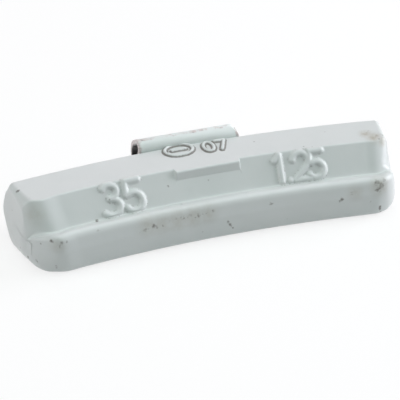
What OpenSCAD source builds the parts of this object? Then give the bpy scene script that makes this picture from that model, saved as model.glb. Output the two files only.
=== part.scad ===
// Clip-on wheel balance weight: a zinc casting with a steel spring clip cast into it.
// X runs along the rim, Y away from the wheel's axle, Z up towards the outboard face.
// The origin lies on the underside at mid length, below the casting's upper front edge.

/* [Wheel] */
// Radius from the axle to the casting's upper front edge
wheel_r = 174; // [150:1:230]

/* [Casting] */
// Length along the upper front edge, over both ends
cast_len = 52.4; // [46:0.1:70]
// Height from the underside to the outboard face
cast_h = 9.1; // [8.6:0.05:11]
// Width of the flat outboard face
top_w = 5.55; // [5:0.05:7]
// How far the marked face runs forward
face_run = 2.7; // [2:0.05:3.2]
// How far the marked face drops
face_drop = 3.45; // [2.6:0.05:3.8]
// Width of the ledge in front of the marked face
ledge_w = 2.5; // [1.8:0.05:3]
// Rise of the ledge from the marked face out to its rim
ledge_rise = 0.95; // [0.3:0.05:1.4]
// Reach of the lip in front of the upper front edge
lip_reach = 5.65; // [5.4:0.05:6.5]
// Height of the lip's foremost line above the underside
lip_z = 3.9; // [3:0.1:4.5]
// Front edge of the flat underside
foot_front = 5.2; // [4:0.1:5.6]
// Back edge of the flat underside
foot_back = 4.6; // [3.5:0.1:6]
// Reach of the back where it nests in the rim flange
back_reach = 8.1; // [7.6:0.05:9]
// Height of the back's outermost line above the underside
back_z = 4.1; // [3:0.1:5]
// How far the back leans in above its outermost line
back_lean = 0.65; // [0.3:0.05:1]
// Drop from the outboard face to where the back starts to lean in
back_drop = 2.45; // [2:0.05:3]
// Fall of the outboard face from its front edge to its back edge
edge_drop = 0.18; // [0:0.02:0.3]

/* [Rounded edges] */
// Radius of the upper front edge
front_r = 0.4; // [0.2:0.05:0.6]
// Radius of the cove at the foot of the marked face
cove_r = 0.7; // [0.4:0.05:1]
// Radius of the ledge's rim
rim_r = 1.2; // [0.8:0.05:1.5]
// Radius of the lip
lip_r = 2.1; // [1.5:0.1:2.5]
// Radius of the underside's front edge
foot_front_r = 1.3; // [0.8:0.1:1.6]
// Radius of the underside's back edge
foot_back_r = 2.4; // [1.5:0.1:2.8]
// Radius of the back at its outermost line
back_r = 2.8; // [2:0.1:3.2]
// Radius where the back leans in
lean_r = 2.5; // [1.5:0.1:3]
// Radius of the outboard face's back edge
top_back_r = 0.6; // [0.3:0.05:0.8]

/* [End blocks] */
// Width of the left end block at the outboard face, from the end to its ridge
block_left_top = 2.9; // [2.4:0.1:7]
// Width of the left end block at the underside
block_left_low = 4.5; // [2.6:0.1:7]
// Width of the right end block at the outboard face
block_right_top = 2.8; // [2.4:0.1:7]
// Width of the right end block at the underside
block_right_low = 3.1; // [2.6:0.1:7]
// Run of the recess wall beside the left block
ramp_left = 1.9; // [0.8:0.1:3]
// Run of the recess wall beside the right block
ramp_right = 1.2; // [0.8:0.1:3]
// How far each block's ridge stands out past the recess
block_out = 0.4; // [0.1:0.05:0.6]
// Turn of each block's front towards the end, in degrees
facet_turn = 24; // [0:1:32]
// Softness of the ridge
ridge_r = 0.5; // [0.2:0.05:1]
// Rounding of the ends at the upper front edge
end_round_top = 0.9; // [0.4:0.05:1.2]
// Rounding of the ends at the lower front corner
end_round_low = 1.85; // [1:0.05:2]
// Rounding of the ends at the back
end_round_back = 0.45; // [0.3:0.05:0.9]
// Flare of the ends from the outboard face down to the lip
end_flare = 0.65; // [0:0.05:1]
// Depth below the outboard face at which the flare starts
flare_from = 1.2; // [0.5:0.1:3]
// Height over which the ends flare
flare_run = 6.3; // [5:0.1:8]

/* [Centre tab] */
// Offset of the tab from mid length
tab_x = -0.15; // [-1:0.05:1]
// Length of the tab along the rim
tab_len = 8.9; // [6:0.1:14]
// How far the tab stands out past the upper front edge
tab_out = 0.95; // [0.4:0.05:1]
// Height of the tab's front face
tab_h = 1.5; // [1:0.05:2]

/* [Clip] */
// Thickness of the spring steel
clip_t = 0.8; // [0.6:0.05:1]
// Width of the clip along the rim
clip_w = 14.3; // [10:0.1:18]
// Offset of the clip from mid length
clip_x = -0.7; // [-2:0.1:2]
// Lean of the leg against the casting's back, from upright
leg_lean = 25; // [15:1:35]
// Length of the leg below the fold
leg_len = 1.2; // [1:0.1:1.6]
// Length of the foot that is cast in below the leg
foot_len = 3.2; // [2:0.1:3.6]
// Turn of the foot in under the leg
foot_turn = 35; // [25:1:45]
// Inner radius of the bend between leg and foot
foot_r = 1.2; // [0.8:0.1:1.6]
// Height of the fold above the outboard face
clip_rise = 0.95; // [0.7:0.05:1.8]
// Inner radius of the fold over the outboard edge
fold_r = 0.35; // [0.3:0.05:0.6]
// Slope of the crown, from the fold out to the hook
crown_fall = 34; // [25:1:45]
// Flat length of the crown
crown_len = 1.9; // [1:0.1:3]
// Inner radius of the hook that goes round the rim's lip
hook_r = 2.25; // [1.5:0.05:3]
// Heading of the jaw below the hook, in degrees down from the crown's start
jaw_turn = 95; // [90:1:100]
// Flat length of the jaw that grips the rim
jaw_len = 1.7; // [1:0.1:3]
// Turn of the lead-in, away from the casting
tip_turn = 35; // [20:1:45]
// Inner radius of the bend at the lead-in
tip_r = 0.9; // [0.5:0.1:1.5]
// Length of the flared lead-in at the clip's tip
tip_len = 0.9; // [0.5:0.1:2]
// Radius of the sheared shoulder at the clip's right edge
shoulder_r = 1; // [0.5:0.05:1.5]

/* [Hidden] */
ARC = 5;            // points on each rounded corner of the section
END_STEPS = 7;      // rings that round each end
BLOCK_STEPS = 9;    // rings along each end block and its recess wall
RING_GAP = 2;       // longest step between rings along the rim
OVER = 1;           // how far cutters run past what they cut
BEND_STEP = 8;      // degrees between lines of a bend
FLAT_HALF = 0.12;   // half the length of a straight that stands for a corner where the outline is flat
REACH = 0.47;       // most of a side that one rounded corner takes

function unit(v) = v / norm(v);
function mix(a, b, t) = a * (1 - t) + b * t;
function ease(t) = let (c = min(1, max(0, t))) c * c * (3 - 2 * c);

// One section corner as points: an arc of the given radius, or a short straight where it is flat.
function corner_arc(a, p, b, r) =
    let (u = unit(a - p), v = unit(b - p), angle = acos(max(-1, min(1, u * v))))
    angle > 177
    ? [for (j = [0 : ARC - 1]) p + mix(u, v, j / (ARC - 1)) * FLAT_HALF]
    : let (reach = min(r / tan(angle / 2), REACH * norm(a - p), REACH * norm(b - p)),
           radius = reach * tan(angle / 2),
           c = p + unit(u + v) * radius / sin(angle / 2),
           p1 = p + u * reach - c,
           p2 = p + v * reach - c,
           start = atan2(p1.y, p1.x),
           sweep = (atan2(p2.y, p2.x) - start + 540) % 360 - 180)
      [for (j = [0 : ARC - 1]) c + radius * [cos(start + sweep * j / (ARC - 1)),
                                             sin(start + sweep * j / (ARC - 1))]];

// A closed outline from corners, each [y, z, radius].
function rounded(corners) =
    let (n = len(corners))
    [for (i = [0 : n - 1])
        let (a = corners[(i + n - 1) % n], p = corners[i], b = corners[(i + 1) % n])
        each corner_arc([a.x, a.y], [p.x, p.y], [b.x, b.y], p.z)];

lower_front = [
    [-face_run, cast_h - face_drop, cove_r],
    [-face_run - ledge_w, cast_h - face_drop + ledge_rise, rim_r],
    [-lip_reach, lip_z, lip_r],
    [-foot_front, 0, foot_front_r]
];
back_corners = [
    [foot_back, 0, foot_back_r],
    [back_reach, back_z, back_r],
    [back_reach - back_lean, cast_h - back_drop, lean_r],
    [top_w, cast_h - edge_drop, top_back_r]
];

// Section in the recess: marked face, cove, ledge and lip. The face has a flat corner half way down,
// which matches the tab's foot.
face_corners = [[0, cast_h, front_r], [-face_run / 2, cast_h - face_drop / 2, 0]];
mid_section = rounded(concat(face_corners, lower_front, back_corners));

// Section at the tab, whose front face drops to the marked face.
tab_front_r = 0.3;
tab_foot = 0.05;    // how far the front face's foot stands clear of the marked face
tab_foot_r = 0.2;
tab_corners = [
    [-tab_out, cast_h, tab_front_r],
    [-max(tab_out, face_run * tab_h / face_drop) - tab_foot, cast_h - tab_h, tab_foot_r]
];
tab_section = rounded(concat(tab_corners, lower_front, back_corners));

// How each point of the section moves when the whole front stands out by 1 mm.
moved_out = rounded(concat([for (c = concat(face_corners, lower_front)) c - [1, 0, 0]], back_corners));
front_move = moved_out - mid_section;

// Each end: its side, its block's width at the top and at the underside, and the run of its wall.
left_end = [-1, block_left_top, block_left_low, ramp_left];
right_end = [1, block_right_top, block_right_low, ramp_right];

// How far the front stands out past the recess, at a height and a distance from the end: from the
// recess floor up a wall to the block's ridge, and from there back along a facet turned to the end.
function stand_out(z, to_end, end) =
    let (past = mix(end[2], end[1], z / cast_h) - to_end, ramp = end[3])
    block_out * ease((past + ramp) / ramp) - tan(facet_turn) * (norm([past, ridge_r]) + past) / 2;

// Puts a section point on the rim's arc, s along the upper front edge.
function on_rim(p, s) =
    let (turn = s / wheel_r * 180 / PI)
    [(wheel_r + p.x) * sin(turn), (wheel_r + p.x) * cos(turn) - wheel_r, p.y];

// Direction from a section point to the core line that runs inside the section.
core_z = cast_h * 0.45;
function inward(p) = unit([min(back_reach * 0.45, max(-lip_reach * 0.4, p.x)), core_z] - p);

// Each end is rounded most at its lower front corner, and flares down to the lip.
round_start = 1.3;
round_run = 6.7;
front_start = 5;
front_run = 7.5;
function end_round(p) =
    let (low = ease((cast_h - p.y - round_start) / round_run), front = ease((front_start - p.x) / front_run))
    mix(end_round_back, mix(end_round_top, end_round_low, low), front);
function end_place(p) = -end_flare * (1 - ease((cast_h - p.y - flare_from) / flare_run));

function end_rings(end) =
    [for (i = [0 : END_STEPS])
        let (a = 90 * i / END_STEPS)
        [for (k = [0 : len(mid_section) - 1])
            let (p = mid_section[k],
                 r = end_round(p),
                 to_end = r * (1 - cos(a)) - end_place(p),
                 q = p + front_move[k] * stand_out(p.y, to_end, end))
            on_rim(q + inward(p) * r * (1 - sin(a)), end[0] * (cast_len / 2 - to_end))]];

// Rings over an end block and its recess wall, down to the recess floor.
function block_width(end) = max(end[1], end[2]) + end[3];
function block_rings(end) =
    let (from = end_round_low + end_flare)
    [for (i = [0 : BLOCK_STEPS])
        let (to_end = mix(from, block_width(end), i / BLOCK_STEPS))
        [for (k = [0 : len(mid_section) - 1])
            let (p = mid_section[k])
            on_rim(p + front_move[k] * stand_out(p.y, to_end, end), end[0] * (cast_len / 2 - to_end))]];

// Plain rings between two places, without the first and last.
function run_rings(section, from, to) =
    let (n = ceil((to - from) / RING_GAP))
    [for (i = [1 : n - 1]) [for (p = section) on_rim(p, from + (to - from) * i / n)]];

function ring(section, s) = [for (p = section) on_rim(p, s)];
function flipped(rings) = [for (i = [len(rings) - 1 : -1 : 0]) rings[i]];

tab_edge = 0.3;     // run of the tab's slanted sides
left_floor = block_width(left_end) - cast_len / 2;
right_floor = cast_len / 2 - block_width(right_end);
tab_left = tab_x - tab_len / 2;
tab_right = tab_x + tab_len / 2;
cast_rings = concat(
    end_rings(left_end),
    block_rings(left_end),
    run_rings(mid_section, left_floor, tab_left - tab_edge),
    [ring(mid_section, tab_left - tab_edge), ring(tab_section, tab_left)],
    run_rings(tab_section, tab_left, tab_right),
    [ring(tab_section, tab_right), ring(mid_section, tab_right + tab_edge)],
    run_rings(mid_section, tab_right + tab_edge, right_floor),
    flipped(block_rings(right_end)),
    flipped(end_rings(right_end)));

function middle(points) = [for (i = [0 : 2]) [for (p = points) p[i]] * [for (p = points) 1] / len(points)];

// A closed skin over a list of rings with equal numbers of points.
module skin(rings) {
    n = len(rings[0]);
    m = len(rings);
    points = concat([for (r = rings) each r], [middle(rings[0]), middle(rings[m - 1])]);
    sides = [for (i = [0 : m - 2], k = [0 : n - 1])
        let (a = i * n + k, b = i * n + (k + 1) % n)
        each [[a, a + n, b], [b, a + n, b + n]]];
    caps = [for (k = [0 : n - 1])
        each [[m * n, k, (k + 1) % n], [m * n + 1, (m - 1) * n + (k + 1) % n, (m - 1) * n + k]]];
    polyhedron(points = points, faces = concat(sides, caps), convexity = 6);
}

function heading(h) = [cos(h), sin(h)];

// Middle line of a strip bent from flat sheet, as [point, heading] pairs.
// Each step is [straight, inner radius, turn], and a positive turn bends to the right.
function strip_line(steps, p, h, i = 0) =
    i == len(steps) ? [] :
    let (turn = steps[i][2],
         to_centre = (steps[i][1] + clip_t / 2) * heading(h - (turn < 0 ? -90 : 90)),
         q = p + steps[i][0] * heading(h),
         n = ceil(abs(turn) / BEND_STEP),
         bend = [for (j = [0 : max(n, 1)])
             let (a = n == 0 ? 0 : turn * j / n)
             [q + to_centre - turned(to_centre, -a), h - a]])
    concat([[p, h]], bend, strip_line(steps, bend[len(bend) - 1][0], h - turn, i + 1));
function turned(v, a) = [v.x * cos(a) - v.y * sin(a), v.x * sin(a) + v.y * cos(a)];

// The strip's outline, on both sides of its middle line.
module strip_outline(line) {
    side = [for (s = line) heading(s[1] + 90) * clip_t / 2];
    n = len(line);
    polygon(concat([for (i = [0 : n - 1]) line[i][0] + side[i]],
                   [for (i = [n - 1 : -1 : 0]) line[i][0] - side[i]]));
}

// The leg's front face touches the casting's outboard edge, which sets where the fold lies.
fold_outer = fold_r + clip_t;
fold_z = cast_h + clip_rise - fold_outer;
edge_z = cast_h - edge_drop;
fold_y = top_w + (fold_outer - (fold_z - edge_z) * sin(leg_lean)) / cos(leg_lean);

// The strip runs up from its foot, over the fold and the crown and down the hook to the tip.
clip_steps = [
    [foot_len, foot_r, -foot_turn],
    [leg_len, fold_r, 90 + leg_lean + crown_fall],
    [crown_len, hook_r, jaw_turn - crown_fall],
    [jaw_len, tip_r, -tip_turn],
    [tip_len, 0, 0]
];
fold_mid = fold_r + clip_t / 2;
leg_top = [fold_y, fold_z] - fold_mid * heading(leg_lean);
foot_mid = foot_r + clip_t / 2;
foot_heading = 90 + leg_lean - foot_turn;
leg_foot = leg_top - leg_len * heading(90 + leg_lean);
bend_centre = leg_foot - foot_mid * heading(leg_lean);
clip_start = bend_centre + foot_mid * heading(leg_lean - foot_turn) - foot_len * heading(foot_heading);

module clip_strip() {
    right_x = clip_x + clip_w / 2;
    difference() {
        translate([right_x - clip_w, 0, 0]) rotate([90, 0, 90]) linear_extrude(clip_w)
            strip_outline(strip_line(clip_steps, clip_start, foot_heading));
        translate([right_x - shoulder_r, 0, fold_z + fold_outer - shoulder_r]) shoulder_cutter();
    }
}

// Leaves a round shoulder where the strip was sheared.
module shoulder_cutter() {
    rotate([90, 0, 0]) translate([0, 0, -wheel_r / 4]) linear_extrude(wheel_r / 2) difference() {
        square(shoulder_r + OVER);
        circle(r = shoulder_r, $fn = 48);
    }
}

module weight_body() {
    color([0.73, 0.75, 0.74]) difference() {
        skin(cast_rings);
        clip_strip();
    }
}

module spring_clip() {
    color([0.7, 0.73, 0.72]) clip_strip();
}

weight_body();
spring_clip();
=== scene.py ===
"""Looks of a clip-on wheel balance weight: a coated zinc casting with a spring steel clip cast into it.

Lengths are in millimetres times MM. X runs along the rim, Y away from the wheel's axle, Z up.
The origin lies on the underside at mid length, below the casting's upper front edge.
"""
import math

import bpy
import numpy as np
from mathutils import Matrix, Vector
from mathutils.bvhtree import BVHTree


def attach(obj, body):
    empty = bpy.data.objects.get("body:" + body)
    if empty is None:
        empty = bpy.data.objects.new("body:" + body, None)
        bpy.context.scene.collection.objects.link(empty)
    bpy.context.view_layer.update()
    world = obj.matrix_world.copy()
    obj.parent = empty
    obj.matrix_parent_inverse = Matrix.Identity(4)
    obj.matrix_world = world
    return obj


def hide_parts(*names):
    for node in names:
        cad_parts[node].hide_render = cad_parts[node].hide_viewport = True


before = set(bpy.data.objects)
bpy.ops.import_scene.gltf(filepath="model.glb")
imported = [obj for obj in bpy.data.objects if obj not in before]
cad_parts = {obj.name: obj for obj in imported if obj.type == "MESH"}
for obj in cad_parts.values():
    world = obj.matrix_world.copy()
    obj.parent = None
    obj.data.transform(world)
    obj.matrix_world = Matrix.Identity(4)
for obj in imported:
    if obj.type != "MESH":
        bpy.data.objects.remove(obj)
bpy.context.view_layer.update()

MM = 0.001

# The casting's sizes in millimetres. Most are the part's own. The recess, the ends and the tab follow
# the photograph a little more closely than the solid does.
WHEEL_R = 174           # from the axle to the upper front edge
CAST_LEN, CAST_H = 52.4, 9.1
TOP_W, EDGE_DROP = 5.55, 0.18
FACE_RUN, FACE_DROP = 2.85, 3.64
LEDGE_W, LEDGE_RISE = 2.3, 1.15
LIP_REACH, LIP_Z = 5.65, 3.9
FOOT_FRONT, FOOT_BACK = 5.2, 4.6
BACK_REACH, BACK_Z = 8.1, 4.1
BACK_LEAN, BACK_DROP = 0.65, 2.45

# Radii of the section's corners.
FRONT_R, COVE_R, RIM_R, LIP_R = 0.4, 0.35, 1.35, 2.1
FOOT_FRONT_R, FOOT_BACK_R = 1.3, 2.4
BACK_R, LEAN_R, TOP_BACK_R = 2.8, 2.5, 0.6

# Each end block: its width at the outboard face and at the underside, the run of the recess wall
# beside it, and how far its ridge stands out.
BLOCK_LEFT = (2.9, 4.4, 2.7, 0.4)
BLOCK_RIGHT = (2.4, 3, 1.6, 0.2)
FACET_TURN, RIDGE_R = 27, 0.9   # turn of each block's front towards the end, in degrees, and its softness
WALL_LOW, WALL_RISE = 0.35, 3   # share of the stand-out left on the lip, and the height in which it grows

# Rounding of each end's front: at the upper edge, from the rim down, and in the cove.
END_ROUND_LEFT = (1.9, 2.7, 2)
END_ROUND_RIGHT = (1.1, 1.9, 0.8)
COVE_NEAR = 1.2                 # how far from the cove's corner its own rounding reaches
END_ROUND_FOOT, END_ROUND_BACK = 1.9, 0.7
ROUND_START, ROUND_RUN = 0.4, 3.4
FOOT_START, FOOT_RUN = 3.6, 3
FRONT_START, FRONT_RUN = 5, 7.5

# Flare of both ends from the outboard face down to the lip, and how far the left one slants back for
# each millimetre forward.
END_FLARE, FLARE_FROM, FLARE_RUN = 0.65, 1.2, 6.3
END_SLANT, SLANT_FROM, SLANT_SOFT = 0.28, 0.3, 0.8

# The centre tab, and a faint ridge on the ledge where the die's middle insert met its neighbours.
TAB_X, TAB_LEN, TAB_OUT, TAB_H = -0.15, 8.9, 0.8, 1.25
TAB_TOP_R, TAB_FOOT_R, TAB_EDGE = 0.25, 0.15, 0.08
SEAM_LEN, SEAM_H = 9.6, 0.18

# The clip's driving sizes, in millimetres and degrees.
CLIP_T, CLIP_W, CLIP_X = 0.8, 14.3, -0.7
LEG_LEAN, LEG_LEN = 25, 1.2
FOOT_LEN, FOOT_TURN, FOOT_R = 3.2, 35, 1.2
CLIP_RISE, FOLD_R = 0.95, 0.35
CROWN_FALL, CROWN_LEN = 34, 1.9
HOOK_R, HOOK_TURN, JAW_LEN = 2.25, 95, 1.7
TIP_R, TIP_TURN, TIP_LEN = 0.9, -35, 0.9
SHOULDER_R = 1.5
STRIP_EDGE = 0.12       # radius of the strip's sheared edges

# Raised marks: height above the surface, half the width of a stroke, and how dark its foot is made by dirt
# and painted shade.
FACE_LEN = math.hypot(FACE_RUN, FACE_DROP)
FACE_MARK_H, FACE_STROKE, FACE_DIRT_AND_SHADE = 0.38, 0.62, 0.4
TOP_MARK_H, TOP_STROKE, TOP_DIRT_AND_SHADE = 0.3, 0.38, 1.2
CREST_SHARE, FOOT_SHARE, FOOT_DARK_SHARE = 0.15, 0.85, 0.7   # shares of the half width, and of the foot's place

# Each number, in millimetres: its glyphs with their left sides, then the lines on which they stand and
# end. On the face these are measured down from its upper edge, and on top back from the front edge.
GRAMS = ([("3", -15.15), ("5", -12)], 4.3, 0.3)
OUNCES = ([("1", 9.1), (".", 11.1), ("2", 11.7), ("5", 13.9)], 4.1, 0.45)
TOP_DIGITS = ([("0", 0.7), ("7", 2.5)], 2.75, 5.05)
RING_X, RING_Y, RING_HALF_LEN, RING_HALF_W, BAR_HALF = -2.6, 4.4, 1.9, 1.4, 0.9
GLYPH_STEP, RING_STEP = 9, 6    # degrees between points of the glyphs' arcs and of the ring

# Colours of the coat, from its darker clouds to its paler ones.
COAT_DARK, COAT_LIGHT = "#cdd3d1", "#dadddc"
CLIP_DARK, CLIP_LIGHT = "#e1e8e6", "#ebf0ee"

# Paler coat on edges, partly wear and partly painted highlight: an edge pales from this bend on, in 1/mm,
# over this run, by this much.
EDGE_PALE_FROM, EDGE_PALE_RUN, EDGE_PALE = 0.2, 1.3, 0.3
# The ledge rim's crest, at this place and within this reach, carries a painted highlight of this much.
RIM_CREST_Y, RIM_CREST_Z, RIM_HIGHLIGHT_REACH, RIM_HIGHLIGHT = -4.7, 6.3, 0.9, 0.45

# How fine the meshes are.
ARC_POINTS = 9          # points on each rounded corner of a section
END_STEPS = 14          # rings that round each end
CAP_STEPS = 16          # rings across each end face
BRIDGE_STEPS = 16       # rings from each rounded end to the plain ones
SETTLING_ROUNDS = 4     # rounds in which an end's place is worked out
FINE_GAP = 0.115        # between rings where the face or the top carries marks
PLAIN_GAP = 0.2         # between rings elsewhere
FINE_HALF = 17.2        # the marks lie within this distance of mid length
BEND_STEP = 4           # degrees between lines of a bend in the clip

# The plain rings end at this distance from mid length, short of both rounded ends.
RING_END = CAST_LEN / 2 - END_FLARE - END_SLANT * LIP_REACH - max(END_ROUND_LEFT)

# The camera's angles in degrees, its distance and lens in millimetres, and its shift.
CAMERA_AZIMUTH, CAMERA_ELEVATION = -17.7, 33.17
CAMERA_AWAY, LENS, SENSOR = 206.7, 139.25, 36
SHIFT_X, SHIFT_Y = -0.01825, -0.0921
CLIP_START, CLIP_END = 0.01, 10         # in metres

# Soft boxes round the object: azimuth and elevation in degrees, the level at which a white surface
# that faces the box shows white, and the colour of the light.
SOFT_BOXES = {
    "overhead": (20, 88, 0.466, "#f1fffb"),
    "right": (85, 20, 1.12, "#faf8ff"),
    "left": (-90, 20, 0.371, "#fffcff"),
    "back": (180, 40, 0.19, "#ffe3f2"),
    "front": (-10, 30, 0.036, "#c8ffe6"),
}
BOX_AWAY, BOX_WIDTH = 0.5, 0.4          # in metres
WORLD_LEVEL = 0.01
FLOOR_HALF = 3                          # in metres
FLOOR_SHADE, FLOOR_GLOW = 0.25, 0.77    # how strongly the floor shows a shadow, and its own white


def unit(v):
    """A vector's direction."""
    return v / np.linalg.norm(v)


def ease(t):
    """Rises smoothly from 0 to 1 as t does, and is level before and after."""
    t = np.clip(t, 0, 1)
    return t * t * (3 - 2 * t)


def corner_arc(a, p, b, radius):
    """The corner p between a and b as points: an arc, or a short straight where the outline is flat."""
    flat, flat_step, most = math.radians(177), 0.12, 0.47
    u, v = unit(a - p), unit(b - p)
    angle = math.acos(np.clip(u @ v, -1, 1))
    steps = np.linspace(0, 1, ARC_POINTS)
    if angle > flat:
        return [p + (u * (1 - t) + v * t) * flat_step for t in steps]
    room = most * min(np.linalg.norm(a - p), np.linalg.norm(b - p))
    reach = min(radius / math.tan(angle / 2), room)
    radius = reach * math.tan(angle / 2)
    centre = p + unit(u + v) * radius / math.sin(angle / 2)
    p1, p2 = p + u * reach - centre, p + v * reach - centre
    start = math.atan2(p1[1], p1[0])
    sweep = (math.atan2(p2[1], p2[0]) - start + 3 * math.pi) % (2 * math.pi) - math.pi
    turns = start + sweep * steps
    return [centre + radius * np.array([math.cos(turn), math.sin(turn)]) for turn in turns]


def section(corners):
    """A closed outline from corners, each (y, z, radius, points on the straight that follows)."""
    places = [np.array(corner[:2], float) for corner in corners]
    count = len(corners)
    arcs = [corner_arc(places[i - 1], places[i], places[(i + 1) % count], corners[i][2])
            for i in range(count)]
    outline = []
    for i in range(count):
        a, b, between = arcs[i][-1], arcs[(i + 1) % count][0], corners[i][3]
        outline += arcs[i]
        outline += [a + (b - a) * (k + 1) / (between + 1) for k in range(between)]
    return np.array(outline)


FACE_ROWS_HIGH, FACE_ROWS_LOW, LEDGE_ROWS, TOP_ROWS = 14, 18, 3, 38
FACE_SPLIT = 0.45       # share of the marked face above the line that becomes the tab's foot
face_corners = [
    (0, CAST_H, FRONT_R, FACE_ROWS_HIGH),
    (-FACE_RUN * FACE_SPLIT, CAST_H - FACE_DROP * FACE_SPLIT, 0, FACE_ROWS_LOW),
]
tab_corners = [
    (-TAB_OUT, CAST_H + EDGE_DROP * TAB_OUT / TOP_W, TAB_TOP_R, FACE_ROWS_HIGH),
    (-FACE_RUN * TAB_H / FACE_DROP, CAST_H - TAB_H, TAB_FOOT_R, FACE_ROWS_LOW),
]
lower_front = [
    (-FACE_RUN, CAST_H - FACE_DROP, COVE_R, LEDGE_ROWS),
    (-FACE_RUN - LEDGE_W, CAST_H - FACE_DROP + LEDGE_RISE, RIM_R, 4),
    (-LIP_REACH, LIP_Z, LIP_R, 3),
    (-FOOT_FRONT, 0, FOOT_FRONT_R, 7),
]
back_corners = [
    (FOOT_BACK, 0, FOOT_BACK_R, 4),
    (BACK_REACH, BACK_Z, BACK_R, 2),
    (BACK_REACH - BACK_LEAN, CAST_H - BACK_DROP, LEAN_R, 3),
    (TOP_W, CAST_H - EDGE_DROP, TOP_BACK_R, TOP_ROWS),
]
mid_section = section(face_corners + lower_front + back_corners)
tab_section = section(tab_corners + lower_front + back_corners)

# How each point moves when the front stands out by 1 mm.
stood_out = section([(y - 1, z, r, rows) for y, z, r, rows in face_corners + lower_front] + back_corners)
front_move = stood_out - mid_section

# 1 for the points on the ledge's straight, and 0 for the others.
ledge_start = ARC_POINTS * 3 + FACE_ROWS_HIGH + FACE_ROWS_LOW
on_ledge = np.zeros(len(mid_section))
on_ledge[ledge_start:ledge_start + LEDGE_ROWS] = 1


def stand_out(points, s):
    """How far the front stands out past the recess: up a wall to a block's ridge, then back to the end."""
    left = np.asarray(s) < 0
    top, low, ramp, out = (np.where(left, a, b) for a, b in zip(BLOCK_LEFT, BLOCK_RIGHT))
    past = low + (top - low) * points[:, 1] / CAST_H - (CAST_LEN / 2 - np.abs(s))
    facet = math.tan(math.radians(FACET_TURN)) * (np.hypot(past, RIDGE_R) + past) / 2
    share = WALL_LOW + (1 - WALL_LOW) * ease((points[:, 1] - LIP_Z) / WALL_RISE)
    return out * share * ease((past + ramp) / ramp) - facet


def front_moved(s):
    """The plain section with its front standing out as it does at a place along the rim."""
    return mid_section + front_move * stand_out(mid_section, s)[:, None]


def section_at(s):
    """The section at a place along the rim, with the tab and seam in the middle and the blocks' fronts."""
    tab = ease((TAB_LEN / 2 + TAB_EDGE - abs(s - TAB_X)) / TAB_EDGE)
    seam = SEAM_H * ease((SEAM_LEN / 2 - abs(s - TAB_X)) / TAB_EDGE)
    return front_moved(s) + (tab_section - mid_section) * tab + on_ledge[:, None] * np.array([0, seam])


def on_rim(points, s):
    """Puts section points on the rim's arc, s along the upper front edge. Gives metres."""
    turn = np.asarray(s) / WHEEL_R
    y, z = points[..., 0], points[..., 1]
    across, out = (WHEEL_R + y) * np.sin(turn), (WHEEL_R + y) * np.cos(turn) - WHEEL_R
    return np.stack([across, out, z + 0 * turn], -1) * MM


def end_round(points, side):
    """How much an end is rounded: most from the rim to the lip, and less in the cove and at the back."""
    low = ease((CAST_H - points[:, 1] - ROUND_START) / ROUND_RUN)
    foot = ease((FOOT_START - points[:, 1]) / FOOT_RUN)
    front = ease((FRONT_START - points[:, 0]) / FRONT_RUN)
    upper, lower, cove = END_ROUND_LEFT if side < 0 else END_ROUND_RIGHT
    full = upper + (lower - upper) * low
    full = full + (END_ROUND_FOOT - full) * foot
    full = END_ROUND_BACK * (1 - front) + full * front
    to_cove = np.hypot(points[:, 0] + FACE_RUN, points[:, 1] - CAST_H + FACE_DROP)
    return cove + (full - cove) * ease(to_cove / COVE_NEAR)


def end_place(points, side):
    """Where an end face lies along the rim. Both flare down to the lip, and the left one slants back."""
    flare = END_FLARE * (1 - ease((CAST_H - points[:, 1] - FLARE_FROM) / FLARE_RUN))
    ahead = np.minimum(points[:, 0] - SLANT_FROM, 0) * (side < 0)
    return CAST_LEN / 2 - flare - END_SLANT * (np.hypot(ahead, SLANT_SOFT) - SLANT_SOFT)


def core(points):
    """The nearest place on the core line, a level one inside the section."""
    front, back, level = -0.4 * LIP_REACH, 0.45 * BACK_REACH, 0.45 * CAST_H
    y = np.clip(points[:, 0], front, back)
    return np.stack([y, 0 * y + level], -1)


def end_rings(side):
    """Rings from the middle of an end face, round its edge and on to the plain rings."""
    inward = core(mid_section) - mid_section
    inward /= np.linalg.norm(inward, axis=1)[:, None]
    depth = end_round(mid_section, side)

    # The front's stand-out and the end's place depend on each other, and settle within a few rounds.
    start = side * CAST_LEN / 2 + np.zeros(len(depth))
    for _ in range(SETTLING_ROUNDS):
        edge = front_moved(start) + inward * depth[:, None]
        start = side * end_place(edge, side)

    rings = []
    for k in range(CAP_STEPS):
        t = (k + 0.5) / CAP_STEPS
        across = core(edge) * (1 - t) + edge * t
        rings.append(on_rim(across, side * end_place(across, side)))
    for i in range(END_STEPS + 1):
        a = math.radians(90 * i / END_STEPS)
        left_in = inward * (depth * (1 - math.sin(a)))[:, None]
        face = end_place(front_moved(start) + left_in, side)
        s = side * (face - depth * (1 - math.cos(a)))
        rings.append(on_rim(front_moved(s) + left_in, s))
    for k in range(1, BRIDGE_STEPS):
        between = s + (side * RING_END - s) * k / BRIDGE_STEPS
        rings.append(on_rim(front_moved(between), between))
    return rings


def rim_places():
    """Places along the rim for the rings between the ends."""
    fine = np.arange(-FINE_HALF, FINE_HALF + FINE_GAP, FINE_GAP)
    left = np.linspace(-RING_END, -FINE_HALF, round((RING_END - FINE_HALF) / PLAIN_GAP))[:-1]
    right = np.linspace(fine[-1], RING_END, round((RING_END - fine[-1]) / PLAIN_GAP))[1:]
    return np.concatenate([left, fine, right])


def mesh_piece(name, points, faces):
    """A mesh object made of points and faces."""
    mesh = bpy.data.meshes.new(name)
    mesh.from_pydata([tuple(p) for p in points], [], faces)
    mesh.validate()
    mesh.update()
    piece = bpy.data.objects.new(name, mesh)
    bpy.context.scene.collection.objects.link(piece)
    return piece


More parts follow.
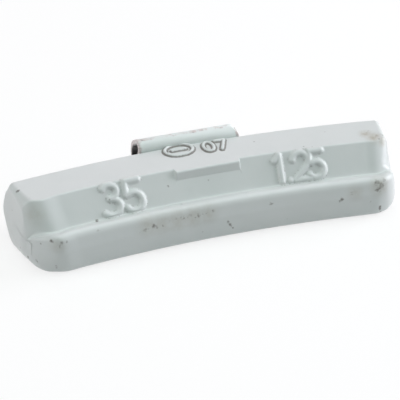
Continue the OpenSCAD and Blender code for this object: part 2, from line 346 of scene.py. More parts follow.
def cast_body():
    """The casting as one closed skin over rings of equal numbers of points."""
    rings = end_rings(-1) + [on_rim(section_at(s), s) for s in rim_places()] + end_rings(1)[::-1]
    around, count = len(mid_section), len(rings)
    here = np.arange(around)
    faces = []
    for i in range(count - 1):
        a, b = i * around + here, i * around + (here + 1) % around
        faces += np.stack([a, b, b + around, a + around], 1).tolist()
    faces.append(list(range(around))[::-1])
    faces.append(list(range((count - 1) * around, count * around)))
    return mesh_piece("cast_weight", np.concatenate(rings), faces)


def add_node(tree, kind, settings=(), inputs=()):
    """Adds a node with its settings. Inputs go by name, or in their order.

    An input is a value, another node's output to link, or a node, which stands for its first output.
    """
    node = tree.nodes.new(kind)
    for name, value in dict(settings).items():
        setattr(node, name, value)
    for key, value in inputs.items() if isinstance(inputs, dict) else enumerate(inputs):
        if isinstance(value, bpy.types.Node):
            value = value.outputs[0]
        if isinstance(value, bpy.types.NodeSocket):
            tree.links.new(value, node.inputs[key])
        else:
            node.inputs[key].default_value = value
    return node


def new_geometry_tree(name, inputs):
    """An empty geometry tree with a geometry input, the named inputs and a geometry output."""
    tree = bpy.data.node_groups.new(name, "GeometryNodeTree")
    tree.interface.new_socket("Geometry", in_out="INPUT", socket_type="NodeSocketGeometry")
    for label, kind in inputs.items():
        tree.interface.new_socket(label, in_out="INPUT", socket_type=kind)
    tree.interface.new_socket("Geometry", in_out="OUTPUT", socket_type="NodeSocketGeometry")
    return tree, tree.nodes.new("NodeGroupInput").outputs


def finish_tree(tree, geometry, material):
    """Ends a geometry tree in plain geometry that carries its material."""
    real = add_node(tree, "GeometryNodeRealizeInstances", inputs={"Geometry": geometry})
    dressed = add_node(tree, "GeometryNodeSetMaterial", inputs={"Geometry": real, "Material": material})
    tree.links.new(dressed.outputs[0], tree.nodes.new("NodeGroupOutput").inputs[0])


def apply_tree(piece, tree, values):
    """Runs a geometry tree on a piece and keeps the result as its plain mesh."""
    modifier = piece.modifiers.new(tree.name, "NODES")
    modifier.node_group = tree
    for socket in tree.interface.items_tree:
        if socket.in_out == "INPUT" and socket.name in values:
            modifier[socket.identifier] = values[socket.name]
    bpy.context.view_layer.update()
    evaluated = piece.evaluated_get(bpy.context.evaluated_depsgraph_get())
    mesh = bpy.data.meshes.new_from_object(evaluated)
    piece.modifiers.remove(modifier)
    piece.data = mesh


def edge_object(name, lines):
    """An object of bare edges along polylines, for a geometry tree to work from."""
    points = [tuple(p) for line in lines for p in line]
    edges, start = [], 0
    for line in lines:
        edges += [(start + i, start + i + 1) for i in range(len(line) - 1)]
        start += len(line)
    mesh = bpy.data.meshes.new(name)
    mesh.from_pydata(points, edges, [])
    made = bpy.data.objects.new(name, mesh)
    bpy.context.scene.collection.objects.link(made)
    return made


def arc(x, y, rx, ry, start, end):
    """Part of an ellipse in a glyph's box, in degrees from the right and anticlockwise."""
    count = 2 + int(abs(end - start) / GLYPH_STEP)
    turns = np.radians(np.linspace(start, end, count))
    return [(x + rx * math.cos(turn), y + ry * math.sin(turn)) for turn in turns]


# Strokes of each glyph, in a box 1 high with y upwards.
GLYPHS = {
    "0": [arc(0.3, 0.5, 0.3, 0.5, 0, 360)],
    "1": [[(0.02, 0.8), (0.22, 1), (0.22, 0)]],
    "2": [arc(0.3, 0.7, 0.3, 0.3, 170, -40) + [(0, 0), (0.62, 0)]],
    "3": [arc(0.27, 0.77, 0.27, 0.23, 140, -90), arc(0.26, 0.27, 0.32, 0.27, 90, -140)],
    "5": [[(0.52, 1), (0.06, 1), (0.02, 0.56)] + arc(0.26, 0.3, 0.31, 0.3, 115, -145)],
    "7": [[(0, 1), (0.58, 1), (0.2, 0)]],
    ".": [[(0, 0), (0.02, 0)]],
}


def face_place(s, t):
    """A place on the marked face, t down it from the upper front edge."""
    return on_rim(np.array([-FACE_RUN * t / FACE_LEN, CAST_H - FACE_DROP * t / FACE_LEN]), s)


def top_place(s, y):
    """A place on the outboard face, y back from its front edge."""
    return on_rim(np.array([y, CAST_H - EDGE_DROP * y / TOP_W]), s)


def marks_on(place, glyphs, low, high):
    """Strokes on a face. Each glyph comes with its left side, and all stand on the line low."""
    size = abs(high - low)
    lines = []
    for glyph, left in glyphs:
        for stroke in GLYPHS[glyph]:
            lines.append([place(left + x * size, low + (high - low) * y) for x, y in stroke])
    return lines


def raised_marks_tree():
    """Lifts a surface along its normals near stroke lines, as a rounded bead with sloping sides."""
    tree, given = new_geometry_tree("raised_marks", {
        "Strokes": "NodeSocketObject", "Half Width": "NodeSocketFloat", "Height": "NodeSocketFloat",
        "Dirt And Shade": "NodeSocketFloat", "Material": "NodeSocketMaterial"})
    half_width = given["Half Width"]
    strokes = add_node(tree, "GeometryNodeObjectInfo", {"transform_space": "RELATIVE"},
                       {"Object": given["Strokes"]})
    near = add_node(tree, "GeometryNodeProximity", {"target_element": "EDGES"},
                    (strokes.outputs["Geometry"],))
    crest = add_node(tree, "ShaderNodeMath", {"operation": "MULTIPLY"}, (half_width, CREST_SHARE))
    lift = add_node(tree, "ShaderNodeMapRange", {"interpolation_type": "SMOOTHSTEP"},
                    {"Value": near.outputs["Distance"], "From Min": crest, "From Max": half_width,
                     "To Min": given["Height"], "To Max": 0})
    normal = add_node(tree, "GeometryNodeInputNormal")
    offset = add_node(tree, "ShaderNodeVectorMath", {"operation": "SCALE"},
                      {0: normal, "Scale": lift.outputs["Result"]})

    # Dirt and painted shade darken the crease along the foot of the bead.
    foot = add_node(tree, "ShaderNodeMath", {"operation": "MULTIPLY"}, (half_width, FOOT_SHARE))
    past_foot = add_node(tree, "ShaderNodeMath", {"operation": "SUBTRACT"}, (near.outputs["Distance"], foot))
    from_foot = add_node(tree, "ShaderNodeMath", {"operation": "ABSOLUTE"}, (past_foot,))
    spread = add_node(tree, "ShaderNodeMath", {"operation": "MULTIPLY"}, (foot, FOOT_DARK_SHARE))
    foot_dark = add_node(tree, "ShaderNodeMapRange", {"interpolation_type": "SMOOTHSTEP"},
                       {"Value": from_foot, "From Min": 0, "From Max": spread,
                        "To Min": given["Dirt And Shade"], "To Max": 0})
    before = add_node(tree, "GeometryNodeInputNamedAttribute", {"data_type": "FLOAT"}, {"Name": "dirt"})
    dirt = add_node(tree, "ShaderNodeMath", {"operation": "MAXIMUM"}, (before, foot_dark.outputs["Result"]))
    darkened = add_node(tree, "GeometryNodeStoreNamedAttribute", {"data_type": "FLOAT", "domain": "POINT"},
                     {"Geometry": given["Geometry"], "Name": "dirt", "Value": dirt})
    moved = add_node(tree, "GeometryNodeSetPosition", inputs={"Geometry": darkened, "Offset": offset})
    finish_tree(tree, moved.outputs[0], given["Material"])
    return tree


def add_marks(casting, material):
    """The mass in grams and in ounces on the marked face, and a plain ring and two plain digits on top."""
    ring = [top_place(RING_X + RING_HALF_LEN * math.cos(turn), RING_Y + RING_HALF_W * math.sin(turn))
            for turn in np.radians(np.arange(0, 360 + RING_STEP, RING_STEP))]
    bar = [top_place(RING_X - BAR_HALF, RING_Y), top_place(RING_X + BAR_HALF, RING_Y)]
    face_lines = marks_on(face_place, *GRAMS) + marks_on(face_place, *OUNCES)
    top_lines = [ring, bar] + marks_on(top_place, *TOP_DIGITS)
    # Each group: its strokes, half width, height, and the dirt and painted shade at their feet.
    groups = [
        ("face_strokes", face_lines, FACE_STROKE, FACE_MARK_H, FACE_DIRT_AND_SHADE),
        ("top_strokes", top_lines, TOP_STROKE, TOP_MARK_H, TOP_DIRT_AND_SHADE),
    ]
    tree = raised_marks_tree()
    for name, lines, half_width, height, dirt in groups:
        strokes = edge_object(name, lines)
        apply_tree(casting, tree, {"Strokes": strokes, "Half Width": half_width * MM,
                                   "Height": height * MM, "Dirt And Shade": dirt, "Material": material})
        bpy.data.objects.remove(strokes)


def strip_path():
    """Middle line of the bent strip from its cast-in foot to the tip, as points (y, z), and its top."""
    fold_outer = FOLD_R + CLIP_T
    fold_z = CAST_H + CLIP_RISE - fold_outer
    lean = math.radians(LEG_LEAN)
    fold_y = TOP_W + (fold_outer - (fold_z - CAST_H + EDGE_DROP) * math.sin(lean)) / math.cos(lean)

    def heading(degrees):
        """A direction in the section, in degrees from straight back."""
        return np.array([math.cos(math.radians(degrees)), math.sin(math.radians(degrees))])

    def walk(point, facing, steps):
        """Follows steps, each a straight, the inner radius of the bend after it, and its turn."""
        path = [point]
        for straight, radius, turn in steps:
            point = point + straight * heading(facing)
            path.append(point)
            centre = point + (radius + CLIP_T / 2) * heading(facing - math.copysign(90, turn))
            count = max(1, round(abs(turn) / BEND_STEP))
            for i in range(1, count + 1 if turn else 0):
                turned = facing - turn * i / count
                path.append(centre + (radius + CLIP_T / 2) * heading(turned + math.copysign(90, turn)))
            point, facing = path[-1], facing - turn
        return path

    # The path starts at the top of the leg and is walked both ways. A last straight has no bend.
    leg_top = np.array([fold_y, fold_z]) - (FOLD_R + CLIP_T / 2) * heading(LEG_LEAN)
    up = 90 + LEG_LEAN
    forward = walk(leg_top, up, [(0, FOLD_R, up + CROWN_FALL), (CROWN_LEN, HOOK_R, HOOK_TURN - CROWN_FALL),
                                 (JAW_LEN, TIP_R, TIP_TURN), (TIP_LEN, 0, 0)])
    down = walk(leg_top, up + 180, [(LEG_LEN, FOOT_R, FOOT_TURN), (FOOT_LEN, 0, 0)])
    return down[:0:-1] + forward, fold_z + fold_outer


def strip_tree():
    """Sweeps a strip with rounded edges along a line, and rounds off its right shoulder."""
    tree, given = new_geometry_tree("bent_strip", {
        "Width": "NodeSocketFloat", "Thickness": "NodeSocketFloat", "Edge": "NodeSocketFloat",
        "Shoulder": "NodeSocketFloat", "Top": "NodeSocketFloat", "Middle": "NodeSocketFloat",
        "Material": "NodeSocketMaterial"})
    line = add_node(tree, "GeometryNodeMeshToCurve", inputs={"Mesh": given["Geometry"]})
    sheet = add_node(tree, "GeometryNodeCurvePrimitiveQuadrilateral",
                     inputs={"Width": given["Width"], "Height": given["Thickness"]})
    edges = add_node(tree, "GeometryNodeFilletCurve", {"mode": "POLY"},
                     {"Curve": sheet, "Count": 3, "Radius": given["Edge"]})
    swept = add_node(tree, "GeometryNodeCurveToMesh",
                     inputs={"Curve": line, "Profile Curve": edges, "Fill Caps": True})

    # Points right of the middle move in by what a quarter circle at the shoulder leaves out.
    radius = given["Shoulder"]
    spot = add_node(tree, "GeometryNodeInputPosition")
    place = add_node(tree, "ShaderNodeSeparateXYZ", inputs=(spot,)).outputs
    start = add_node(tree, "ShaderNodeMath", {"operation": "SUBTRACT"}, (given["Top"], radius))
    height = add_node(tree, "ShaderNodeMath", {"operation": "SUBTRACT"}, (place["Z"], start))
    above = add_node(tree, "ShaderNodeMath", {"operation": "MAXIMUM"}, (height, 0))
    above = add_node(tree, "ShaderNodeMath", {"operation": "MINIMUM"}, (above, radius))
    radius_square = add_node(tree, "ShaderNodeMath", {"operation": "MULTIPLY"}, (radius, radius))
    above_square = add_node(tree, "ShaderNodeMath", {"operation": "MULTIPLY"}, (above, above))
    left_square = add_node(tree, "ShaderNodeMath", {"operation": "SUBTRACT"}, (radius_square, above_square))
    left = add_node(tree, "ShaderNodeMath", {"operation": "SQRT"}, (left_square,))
    cut = add_node(tree, "ShaderNodeMath", {"operation": "SUBTRACT"}, (left, radius))
    right = add_node(tree, "ShaderNodeMath", {"operation": "GREATER_THAN"}, (place["X"], given["Middle"]))
    inwards = add_node(tree, "ShaderNodeMath", {"operation": "MULTIPLY"}, (cut, right))
    offset = add_node(tree, "ShaderNodeCombineXYZ", inputs={"X": inwards})
    moved = add_node(tree, "GeometryNodeSetPosition", inputs={"Geometry": swept, "Offset": offset})
    finish_tree(tree, moved.outputs[0], given["Material"])
    return tree


def bent_clip(material):
    """The spring clip: one strip that folds over the casting's edge and hooks down behind it."""
    path, top = strip_path()
    clip = edge_object("bent_clip", [[(CLIP_X * MM, y * MM, z * MM) for y, z in path]])
    apply_tree(clip, strip_tree(), {
        "Width": CLIP_W * MM, "Thickness": CLIP_T * MM, "Edge": STRIP_EDGE * MM, "Shoulder": SHOULDER_R * MM,
        "Top": top * MM, "Middle": CLIP_X * MM, "Material": material})
    return clip


def srgb(code):
    """A colour written as sRGB hex, as linear values."""
    parts = [int(code[i:i + 2], 16) / 255 for i in (1, 3, 5)]
    return tuple(p / 12.92 if p <= 0.04045 else ((p + 0.055) / 1.055) ** 2.4 for p in parts) + (1,)


def mesh_points(piece):
    """A mesh's points in metres, one per row."""
    points = np.empty(len(piece.data.vertices) * 3, np.float32)
    piece.data.vertices.foreach_get("co", points)
    return points.reshape(-1, 3)


def stored(piece, name):
    """One number per point of a mesh, which a material reads by its name. It starts at 0."""
    values = np.zeros(len(piece.data.vertices), np.float32)
    if name in piece.data.attributes:
        piece.data.attributes[name].data.foreach_get("value", values)
    return values


def store(piece, name, values):
    """Keeps one number per point on a mesh, under a name."""
    attributes = piece.data.attributes
    kept = attributes[name] if name in attributes else attributes.new(name, "FLOAT", "POINT")
    kept.data.foreach_set("value", values.astype(np.float32))


def bend(piece):
    """How sharply the surface bends at each point, in 1/mm: above 0 on edges and below 0 in hollows."""
    smoothing_rounds, least_square = 3, 1e-10
    points, mesh = mesh_points(piece), piece.data
    normals = np.empty(len(points) * 3, np.float32)
    mesh.vertex_normals.foreach_get("vector", normals)
    normals = normals.reshape(-1, 3)
    ends = np.empty(len(mesh.edges) * 2, np.int32)
    mesh.edges.foreach_get("vertices", ends)
    a, b = ends.reshape(-1, 2).T
    along = points[b] - points[a]
    square = np.maximum((along ** 2).sum(1), least_square)
    count = np.bincount(a, minlength=len(points)) + np.bincount(b, minlength=len(points))
    total = (np.bincount(a, -2 * (normals[a] * along).sum(1) / square, len(points))
             + np.bincount(b, 2 * (normals[b] * along).sum(1) / square, len(points)))
    value = total / np.maximum(count, 1) * MM
    for _ in range(smoothing_rounds):
        near = np.bincount(a, value[b], len(points)) + np.bincount(b, value[a], len(points))
        value = (value + near / np.maximum(count, 1)) / 2
    return value


def worn_and_highlight(points, bends):
    """Where the coat is paler: on sharp edges, as wear and painted highlight, and along the crest of the
    ledge's rim, as a painted highlight.
    """
    y = np.hypot(points[:, 0], points[:, 1] + WHEEL_R * MM) / MM - WHEEL_R
    from_rim = np.hypot(y - RIM_CREST_Y, points[:, 2] / MM - RIM_CREST_Z)
    on_edge = EDGE_PALE * ease((bends - EDGE_PALE_FROM) / EDGE_PALE_RUN)
    return np.maximum(on_edge, RIM_HIGHLIGHT * (1 - ease(from_rim / RIM_HIGHLIGHT_REACH)))


# Dirt and small chips that the photograph shows: pixel in its 400 by 400 frame, reach in mm, depth.
DIRT_SPOTS = {
    "top_left_corner": (18, 191, 0.6, 0.85), "left_block": (36, 211, 0.7, 0.4),
    "left_end": (13, 226, 0.5, 0.55), "left_end_foot": (28, 257, 0.5, 0.7),
    "left_end_heel": (37, 261, 0.5, 0.8), "left_lip": (57, 267, 0.6, 1),
    "left_rim": (51.5, 240.5, 0.6, 0.9), "left_streak_a": (62, 242, 0.6, 0.7),
    "left_streak_b": (67, 242, 0.5, 0.6), "left_smear": (60, 246, 0.9, 0.45),
    "left_ledge": (97, 221, 0.5, 0.9), "left_under_rim": (98, 230, 0.7, 0.5),
    "low_left": (121, 246, 0.5, 0.6), "mid_low_a": (145, 230, 0.6, 0.65),
    "mid_low_b": (154, 226, 0.7, 0.7), "mid_rim_a": (191, 215, 0.6, 0.65),
    "mid_rim_b": (199, 215, 0.7, 0.65), "mid_rim_c": (213, 211, 0.5, 0.7),
    "mid_rim_d": (184, 218, 0.7, 0.5), "mid_rim_e": (206, 214, 0.6, 0.5),
    "mid_rim_f": (170, 221, 0.8, 0.45), "streak_a": (176, 219, 0.4, 0.6),
    "streak_b": (181, 217.5, 0.4, 0.65), "streak_c": (187, 216.5, 0.4, 0.6),
    "streak_d": (195, 217.5, 0.4, 0.65), "streak_e": (203, 214.5, 0.4, 0.6),
    "streak_f": (148, 229, 0.4, 0.6), "streak_g": (157, 227.5, 0.4, 0.65),
    "streak_h": (163, 226, 0.4, 0.6), "streak_i": (140, 232, 0.4, 0.5),
    "scratch_a": (228, 222, 0.45, 0.8), "scratch_b": (230.5, 224.5, 0.45, 0.9),
    "scratch_c": (233, 227, 0.45, 0.8), "right_rim": (271, 204, 0.6, 0.75),
    "right_low": (287, 218, 0.5, 0.6), "right_rim_b": (342, 199, 0.6, 0.85),
    "right_rim_c": (340, 201, 0.5, 0.7), "right_lip": (371, 200, 0.5, 0.8),
    "right_grain": (352, 194, 0.9, 0.4), "right_streak_a": (380, 206, 0.5, 0.9),
    "right_streak_b": (380, 209, 0.5, 0.9), "right_streak_c": (380, 212, 0.5, 0.8),
    "right_cluster_a": (377, 183, 1.0, 0.65), "right_cluster_b": (382, 186, 1.1, 0.65),
    "right_cluster_c": (378, 190, 1.0, 0.65), "right_cluster_d": (384, 180, 0.7, 0.6),
    "top_smear": (324, 132, 0.7, 0.4), "stain_grain_a": (368, 132, 0.9, 0.42),
    "stain_grain_b": (375, 136, 1.0, 0.45), "stain_grain_c": (382, 135, 0.8, 0.5),
    "tab_nick": (168, 186, 0.4, 0.6), "right_top_nick": (379, 139, 0.4, 0.7),
    "left_top_nick": (30, 198, 0.4, 0.5),
}
STAIN_SPOTS = {
    "right_block_a": (366, 134, 1.5, 1.2), "right_block_b": (374, 137, 1.8, 1.4),
    "right_block_c": (382, 141, 1.2, 1.1), "rim_smear_a": (148, 226, 2.4, 0.6),
    "rim_smear_b": (162, 224, 2.4, 0.6), "rim_smear_c": (178, 220, 2.4, 0.65),
    "rim_smear_d": (194, 217, 2.4, 0.65), "rim_smear_e": (208, 214, 2.2, 0.6),
    "left_block_low": (58, 246, 1.8, 0.45), "left_block_face": (35, 214, 2.2, 0.45),
    "right_cluster": (380, 186, 2.2, 0.8), "right_rim_smear": (355, 193, 1.8, 0.5),
}
PHOTO_WIDTH = 400


def paint_spots(piece, camera, name, spots):
    """Stores how strongly each point is marked, from spots placed where the camera sees them."""
    points, level = mesh_points(piece), stored(piece, name)
    shape = BVHTree.FromObject(piece, bpy.context.evaluated_depsgraph_get())
    data = camera.data
    for x, y, reach, depth in spots.values():
        right = ((x - PHOTO_WIDTH / 2) / PHOTO_WIDTH + data.shift_x) * data.sensor_width / data.lens
        up = ((PHOTO_WIDTH / 2 - y) / PHOTO_WIDTH + data.shift_y) * data.sensor_width / data.lens
        place = shape.ray_cast(camera.location, camera.rotation_quaternion @ Vector((right, up, -1)))[0]
        if place is not None:
            away = np.linalg.norm(points - np.array(place), axis=1)
            level = np.maximum(level, depth * (1 - ease(away / (reach * MM))))
    store(piece, name, level)


def coated_zinc():
    """Die-cast zinc under a thin baked coat of pale grey-green paint.

    The eye sees a satin sheen over slight orange peel, faint clouds in the tone, edges made paler by wear and
    painted highlight, a painted highlight on the rim's crest, brown-grey dirt in spots and chips, dirt and
    painted shade at the feet of the raised marks, and a few dark pores.
    """
    material = bpy.data.materials.new("coated_zinc")
    material.use_nodes = True
    tree = material.node_tree
    shader = tree.nodes["Principled BSDF"]
    place = add_node(tree, "ShaderNodeTexCoord").outputs["Object"]

    # Clouds in the coat, about 6 mm across.
    cloud = add_node(tree, "ShaderNodeTexNoise",
                     inputs={"Vector": place, "Scale": 1 / (6 * MM), "Detail": 3})
    tone = add_node(tree, "ShaderNodeMix", {"data_type": "RGBA"},
                    {"Factor": cloud.outputs["Fac"], "A": srgb(COAT_DARK), "B": srgb(COAT_LIGHT)})

    # Edges are paler from wear and painted highlight, and the rim's crest from a painted highlight, by as
    # much as the attribute says.
    wear_and_highlight = add_node(tree, "ShaderNodeAttribute", {"attribute_name": "worn_and_highlight"})
    paler = add_node(tree, "ShaderNodeMath", {"operation": "MULTIPLY"}, (wear_and_highlight.outputs["Fac"], 0.7))
    worn_and_lit = add_node(tree, "ShaderNodeMix", {"data_type": "RGBA"},
                    {"Factor": paler, "A": tone.outputs["Result"], "B": srgb("#eef3f2")})

    # A brownish stain soaked into the coat, uneven over about 0.7 mm.
    stain = add_node(tree, "ShaderNodeAttribute", {"attribute_name": "stain"})
    patch = add_node(tree, "ShaderNodeTexNoise",
                     inputs={"Vector": place, "Scale": 1 / (0.7 * MM), "Detail": 4})
    patchy = add_node(tree, "ShaderNodeMath", {"operation": "MULTIPLY"}, (patch.outputs["Fac"], 0.8))
    soaked = add_node(tree, "ShaderNodeMath", {"operation": "MULTIPLY"}, (stain.outputs["Fac"], patchy))
    stained = add_node(tree, "ShaderNodeMix", {"data_type": "RGBA"},
                       {"Factor": soaked, "A": worn_and_lit.outputs["Result"], "B": srgb("#9b9179")})

    # Dirt, with the painted shade at the marks' feet, breaks up into grains of about 0.35 mm.
    dirt = add_node(tree, "ShaderNodeAttribute", {"attribute_name": "dirt"})
    grain = add_node(tree, "ShaderNodeTexNoise",
                     inputs={"Vector": place, "Scale": 1 / (0.35 * MM), "Detail": 3})
    grains = add_node(tree, "ShaderNodeMath", {"operation": "SUBTRACT"}, (grain.outputs["Fac"], 0.5))
    broken = add_node(tree, "ShaderNodeMath", {"operation": "ADD"}, (dirt.outputs["Fac"], grains))
    darkening = add_node(tree, "ShaderNodeMapRange", {"interpolation_type": "SMOOTHSTEP"},
                      {"Value": broken, "From Min": 0.3, "From Max": 0.85, "To Min": 0, "To Max": 0.85})
    darkened = add_node(tree, "ShaderNodeMix", {"data_type": "RGBA"},
                     {"Factor": darkening.outputs["Result"], "A": stained.outputs["Result"],
                      "B": srgb("#66615a")})

    # Pores about 0.25 mm across, on one cell in five of a net of 2 mm.
    pores = add_node(tree, "ShaderNodeTexVoronoi", inputs={"Vector": place, "Scale": 1 / (2 * MM)})
    cell = add_node(tree, "ShaderNodeSeparateColor", inputs=(pores.outputs["Color"],))
    chosen = add_node(tree, "ShaderNodeMath", {"operation": "GREATER_THAN"}, (cell, 0.8))
    hole = add_node(tree, "ShaderNodeMapRange", {"interpolation_type": "SMOOTHSTEP"},
                    {"Value": pores.outputs["Distance"], "From Min": 0.03, "From Max": 0.09,
                     "To Min": 0.5, "To Max": 0})
    pore = add_node(tree, "ShaderNodeMath", {"operation": "MULTIPLY"}, (chosen, hole.outputs["Result"]))
    porous = add_node(tree, "ShaderNodeMix", {"data_type": "RGBA"},
                      {"Factor": pore, "A": darkened.outputs["Result"], "B": srgb("#6f6b64")})
    tree.links.new(porous.outputs["Result"], shader.inputs["Base Color"])

    # Orange peel of the coat, with waves of about 0.9 mm.
    peel = add_node(tree, "ShaderNodeTexNoise",
                    inputs={"Vector": place, "Scale": 1 / (0.9 * MM), "Detail": 3})
    bump = add_node(tree, "ShaderNodeBump",
                    inputs={"Height": peel.outputs["Fac"], "Strength": 0.3, "Distance": 0.03 * MM})
    tree.links.new(bump.outputs["Normal"], shader.inputs["Normal"])
    shader.inputs["Roughness"].default_value = 0.3
    return material


def coated_spring_steel():
    """Spring steel strip under the same kind of coat.

    The eye sees the casting's pale tone, brown-pink rust where the coat chipped off the sheared edges
    and the fold, and painted shade that darkens the inside of the bend nearly to black.
    """
    material = bpy.data.materials.new("coated_spring_steel")
    material.use_nodes = True
    tree = material.node_tree
    shader = tree.nodes["Principled BSDF"]
    place = add_node(tree, "ShaderNodeTexCoord").outputs["Object"]

    # Clouds in the coat, about 3 mm across.
    cloud = add_node(tree, "ShaderNodeTexNoise",
                     inputs={"Vector": place, "Scale": 1 / (3 * MM), "Detail": 3})
    tone = add_node(tree, "ShaderNodeMix", {"data_type": "RGBA"},
                    {"Factor": cloud.outputs["Fac"], "A": srgb(CLIP_DARK), "B": srgb(CLIP_LIGHT)})

    # The coat is chipped within about 1.3 mm of the sheared edges, and along the top of the fold.
    axes = add_node(tree, "ShaderNodeSeparateXYZ", inputs=(place,)).outputs
    across = add_node(tree, "ShaderNodeMath", {"operation": "SUBTRACT"}, (axes["X"], CLIP_X * MM))
    aside = add_node(tree, "ShaderNodeMath", {"operation": "ABSOLUTE"}, (across,))
    side = add_node(tree, "ShaderNodeMapRange",
                    inputs={"Value": aside, "From Min": (CLIP_W / 2 - 1.3) * MM,
                            "From Max": CLIP_W / 2 * MM, "To Min": 0, "To Max": 0.75})
    below = add_node(tree, "ShaderNodeMath", {"operation": "SUBTRACT"},
                     ((CAST_H + CLIP_RISE) * MM, axes["Z"]))
    crest = add_node(tree, "ShaderNodeMapRange",
                     inputs={"Value": below, "From Min": 0.02 * MM, "From Max": 0.2 * MM,
                             "To Min": 0.5, "To Max": 0})
    flaked = add_node(tree, "ShaderNodeMath", {"operation": "MAXIMUM"},
                      (side.outputs["Result"], crest.outputs["Result"]))
    flakes = add_node(tree, "ShaderNodeTexNoise",
                      inputs={"Vector": place, "Scale": 1 / (0.9 * MM), "Detail": 4})
    uneven = add_node(tree, "ShaderNodeMath", {"operation": "SUBTRACT"}, (flakes.outputs["Fac"], 0.5))
    broken = add_node(tree, "ShaderNodeMath", {"operation": "ADD"}, (flaked, uneven))
    bare = add_node(tree, "ShaderNodeMapRange", {"interpolation_type": "SMOOTHSTEP"},
                    {"Value": broken, "From Min": 0.4, "From Max": 0.75, "To Min": 0, "To Max": 0.8})
    rust = add_node(tree, "ShaderNodeTexNoise",
                    inputs={"Vector": place, "Scale": 1 / (0.35 * MM), "Detail": 3})
    deep = add_node(tree, "ShaderNodeMapRange", {"interpolation_type": "SMOOTHSTEP"},
                    {"Value": rust.outputs["Fac"], "From Min": 0.5, "From Max": 0.7})
    rusty = add_node(tree, "ShaderNodeMix", {"data_type": "RGBA"},
                     {"Factor": deep.outputs["Result"], "A": srgb("#cdbdbb"), "B": srgb("#86706c")})
    chipped = add_node(tree, "ShaderNodeMix", {"data_type": "RGBA"},
                       {"Factor": bare.outputs["Result"], "A": tone.outputs["Result"],
                        "B": rusty.outputs["Result"]})

    # Painted shade: the inside of the bend, which faces the jaw gap, is darkened nearly to black.
    inside = add_node(tree, "ShaderNodeAttribute", {"attribute_name": "inside"})
    inside_shade = add_node(tree, "ShaderNodeMapRange", {"interpolation_type": "SMOOTHSTEP"},
                      {"Value": inside.outputs["Fac"], "From Min": 0.55, "From Max": 0.9})
    coat = add_node(tree, "ShaderNodeMix", {"data_type": "RGBA"},
                    {"Factor": inside_shade.outputs["Result"], "A": chipped.outputs["Result"],
                     "B": srgb("#252322")})
    tree.links.new(coat.outputs["Result"], shader.inputs["Base Color"])

    # Slight unevenness of the coat, about 1.2 mm across.
    waves = add_node(tree, "ShaderNodeTexNoise",
                     inputs={"Vector": place, "Scale": 1 / (1.2 * MM), "Detail": 3})
    bump = add_node(tree, "ShaderNodeBump",
                    inputs={"Height": waves.outputs["Fac"], "Strength": 0.3, "Distance": 0.03 * MM})
    tree.links.new(bump.outputs["Normal"], shader.inputs["Normal"])
    shader.inputs["Roughness"].default_value = 0.36
    return material


def inside_of_bend(points):
    """1 on the strip's inner side, which faces the jaw gap, and 0 on its outer side."""
    shortest = 1e-7
    path = np.array(strip_path()[0]) * MM
    start, along = path[:-1], path[1:] - path[:-1]
    real = np.linalg.norm(along, axis=1) > shortest
    start, along = start[real], along[real]
    to_point = points[:, None, 1:] - start
    share = np.clip((to_point * along).sum(2) / (along ** 2).sum(1), 0, 1)
    away = to_point - share[..., None] * along
    nearest = np.argmin((away ** 2).sum(2), 1)
    away, along = away[np.arange(len(points)), nearest], along[nearest]
    side = (along[:, 1] * away[:, 0] - along[:, 0] * away[:, 1]) / np.linalg.norm(along, axis=1)
    return np.clip(0.5 + side / (CLIP_T * MM), 0, 1)


def direction(azimuth, elevation):
    """The way from the object towards a place round it, from its azimuth and elevation in degrees."""
    a, e = math.radians(azimuth), math.radians(elevation)
    return Vector((math.sin(a) * math.cos(e), -math.cos(a) * math.cos(e), math.sin(e)))


def set_up_camera():
    """A camera at the photograph's viewing angle, aimed at the middle of the upper front edge."""
    back = direction(CAMERA_AZIMUTH, CAMERA_ELEVATION)
    data = bpy.data.cameras.new("camera")
    data.sensor_width, data.lens = SENSOR, LENS
    data.shift_x, data.shift_y = SHIFT_X, SHIFT_Y
    data.clip_start, data.clip_end = CLIP_START, CLIP_END
    camera = bpy.data.objects.new("camera", data)
    camera.location = Vector((0, 0, CAST_H * MM)) + back * (CAMERA_AWAY * MM)
    camera.rotation_mode = "QUATERNION"
    camera.rotation_quaternion = (-back).to_track_quat("-Z", "Y")
    bpy.context.scene.collection.objects.link(camera)
    bpy.context.scene.camera = camera
    return camera


def set_up_light():
    """Square area lights round the object, each as strong as its level asks at its distance."""
    for name, (azimuth, elevation, level, colour) in SOFT_BOXES.items():
        back = direction(azimuth, elevation)
        data = bpy.data.lights.new(name, "AREA")
        data.size = BOX_WIDTH
        data.energy = level * (math.pi * BOX_AWAY) ** 2
        data.color = srgb(colour)[:3]
        lamp = bpy.data.objects.new(name, data)
        lamp.location = back * BOX_AWAY
        lamp.rotation_mode = "QUATERNION"
        lamp.rotation_quaternion = (-back).to_track_quat("-Z", "Y")
        bpy.context.scene.collection.objects.link(lamp)


def seen_directly(tree):
    """1 where the camera or a reflection looks straight at it, and 0 for the light that it gives."""
    rays = add_node(tree, "ShaderNodeLightPath").outputs
    straight = add_node(tree, "ShaderNodeMath", {"operation": "MAXIMUM"},
                        (rays["Is Camera Ray"], rays["Is Glossy Ray"]))
    return add_node(tree, "ShaderNodeMath", {"operation": "MAXIMUM"}, (straight, rays["Is Transmission Ray"]))


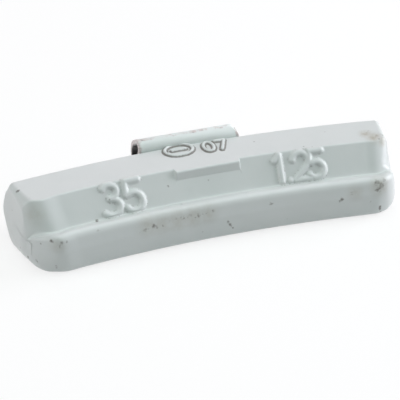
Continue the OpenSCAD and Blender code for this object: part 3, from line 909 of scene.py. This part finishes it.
def set_up_world():
    """White where it is seen, and a plain soft light on the object."""
    world = bpy.data.worlds.new("white_tent")
    bpy.context.scene.world = world
    world.use_nodes = True
    tree = world.node_tree
    background = tree.nodes["Background"]
    background.inputs["Color"].default_value = (1, 1, 1, 1)
    level = add_node(tree, "ShaderNodeMapRange",
                     inputs={"Value": seen_directly(tree), "To Min": WORLD_LEVEL, "To Max": 1})
    tree.links.new(level.outputs["Result"], background.inputs["Strength"])


def set_up_floor():
    """A plain pale floor: it shows white, and darker where the object shades it."""
    low, high = -FLOOR_HALF, FLOOR_HALF
    floor = mesh_piece("floor", [(low, low, 0), (high, low, 0), (high, high, 0), (low, high, 0)],
                       [(0, 1, 2, 3)])
    material = bpy.data.materials.new("pale_floor")
    material.use_nodes = True
    tree = material.node_tree
    tree.nodes.remove(tree.nodes["Principled BSDF"])
    card = add_node(tree, "ShaderNodeBsdfDiffuse", inputs={"Color": srgb("#ececec")})
    shade = add_node(tree, "ShaderNodeBsdfDiffuse",
                     inputs={"Color": (FLOOR_SHADE, FLOOR_SHADE, FLOOR_SHADE, 1)})
    glow = add_node(tree, "ShaderNodeEmission", inputs={"Strength": FLOOR_GLOW})
    shown = add_node(tree, "ShaderNodeAddShader", inputs=(shade, glow))
    surface = add_node(tree, "ShaderNodeMixShader", inputs=(seen_directly(tree), card, shown))
    tree.links.new(surface.outputs[0], tree.nodes["Material Output"].inputs["Surface"])
    floor.data.materials.append(material)


bpy.context.scene.view_settings.view_transform = "Standard"
camera = set_up_camera()
set_up_light()
set_up_world()
set_up_floor()

casting = cast_body()
zinc = coated_zinc()
add_marks(casting, zinc)
paint_spots(casting, camera, "dirt", DIRT_SPOTS)
paint_spots(casting, camera, "stain", STAIN_SPOTS)
# Paler edges are partly wear and partly painted highlight, and the rim's crest is a painted highlight.
store(casting, "worn_and_highlight", worn_and_highlight(mesh_points(casting), bend(casting)))
clip = bent_clip(coated_spring_steel())
# The strip's inner side carries the painted shade.
store(clip, "inside", inside_of_bend(mesh_points(clip)))
pieces = ((casting, "weight_body", "coated_zinc"), (clip, "spring_clip", "coated_spring_steel"))
for piece, node, slot in pieces:
    piece.data.polygons.foreach_set("use_smooth", [True] * len(piece.data.polygons))
    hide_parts(node)
    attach(piece, "root")
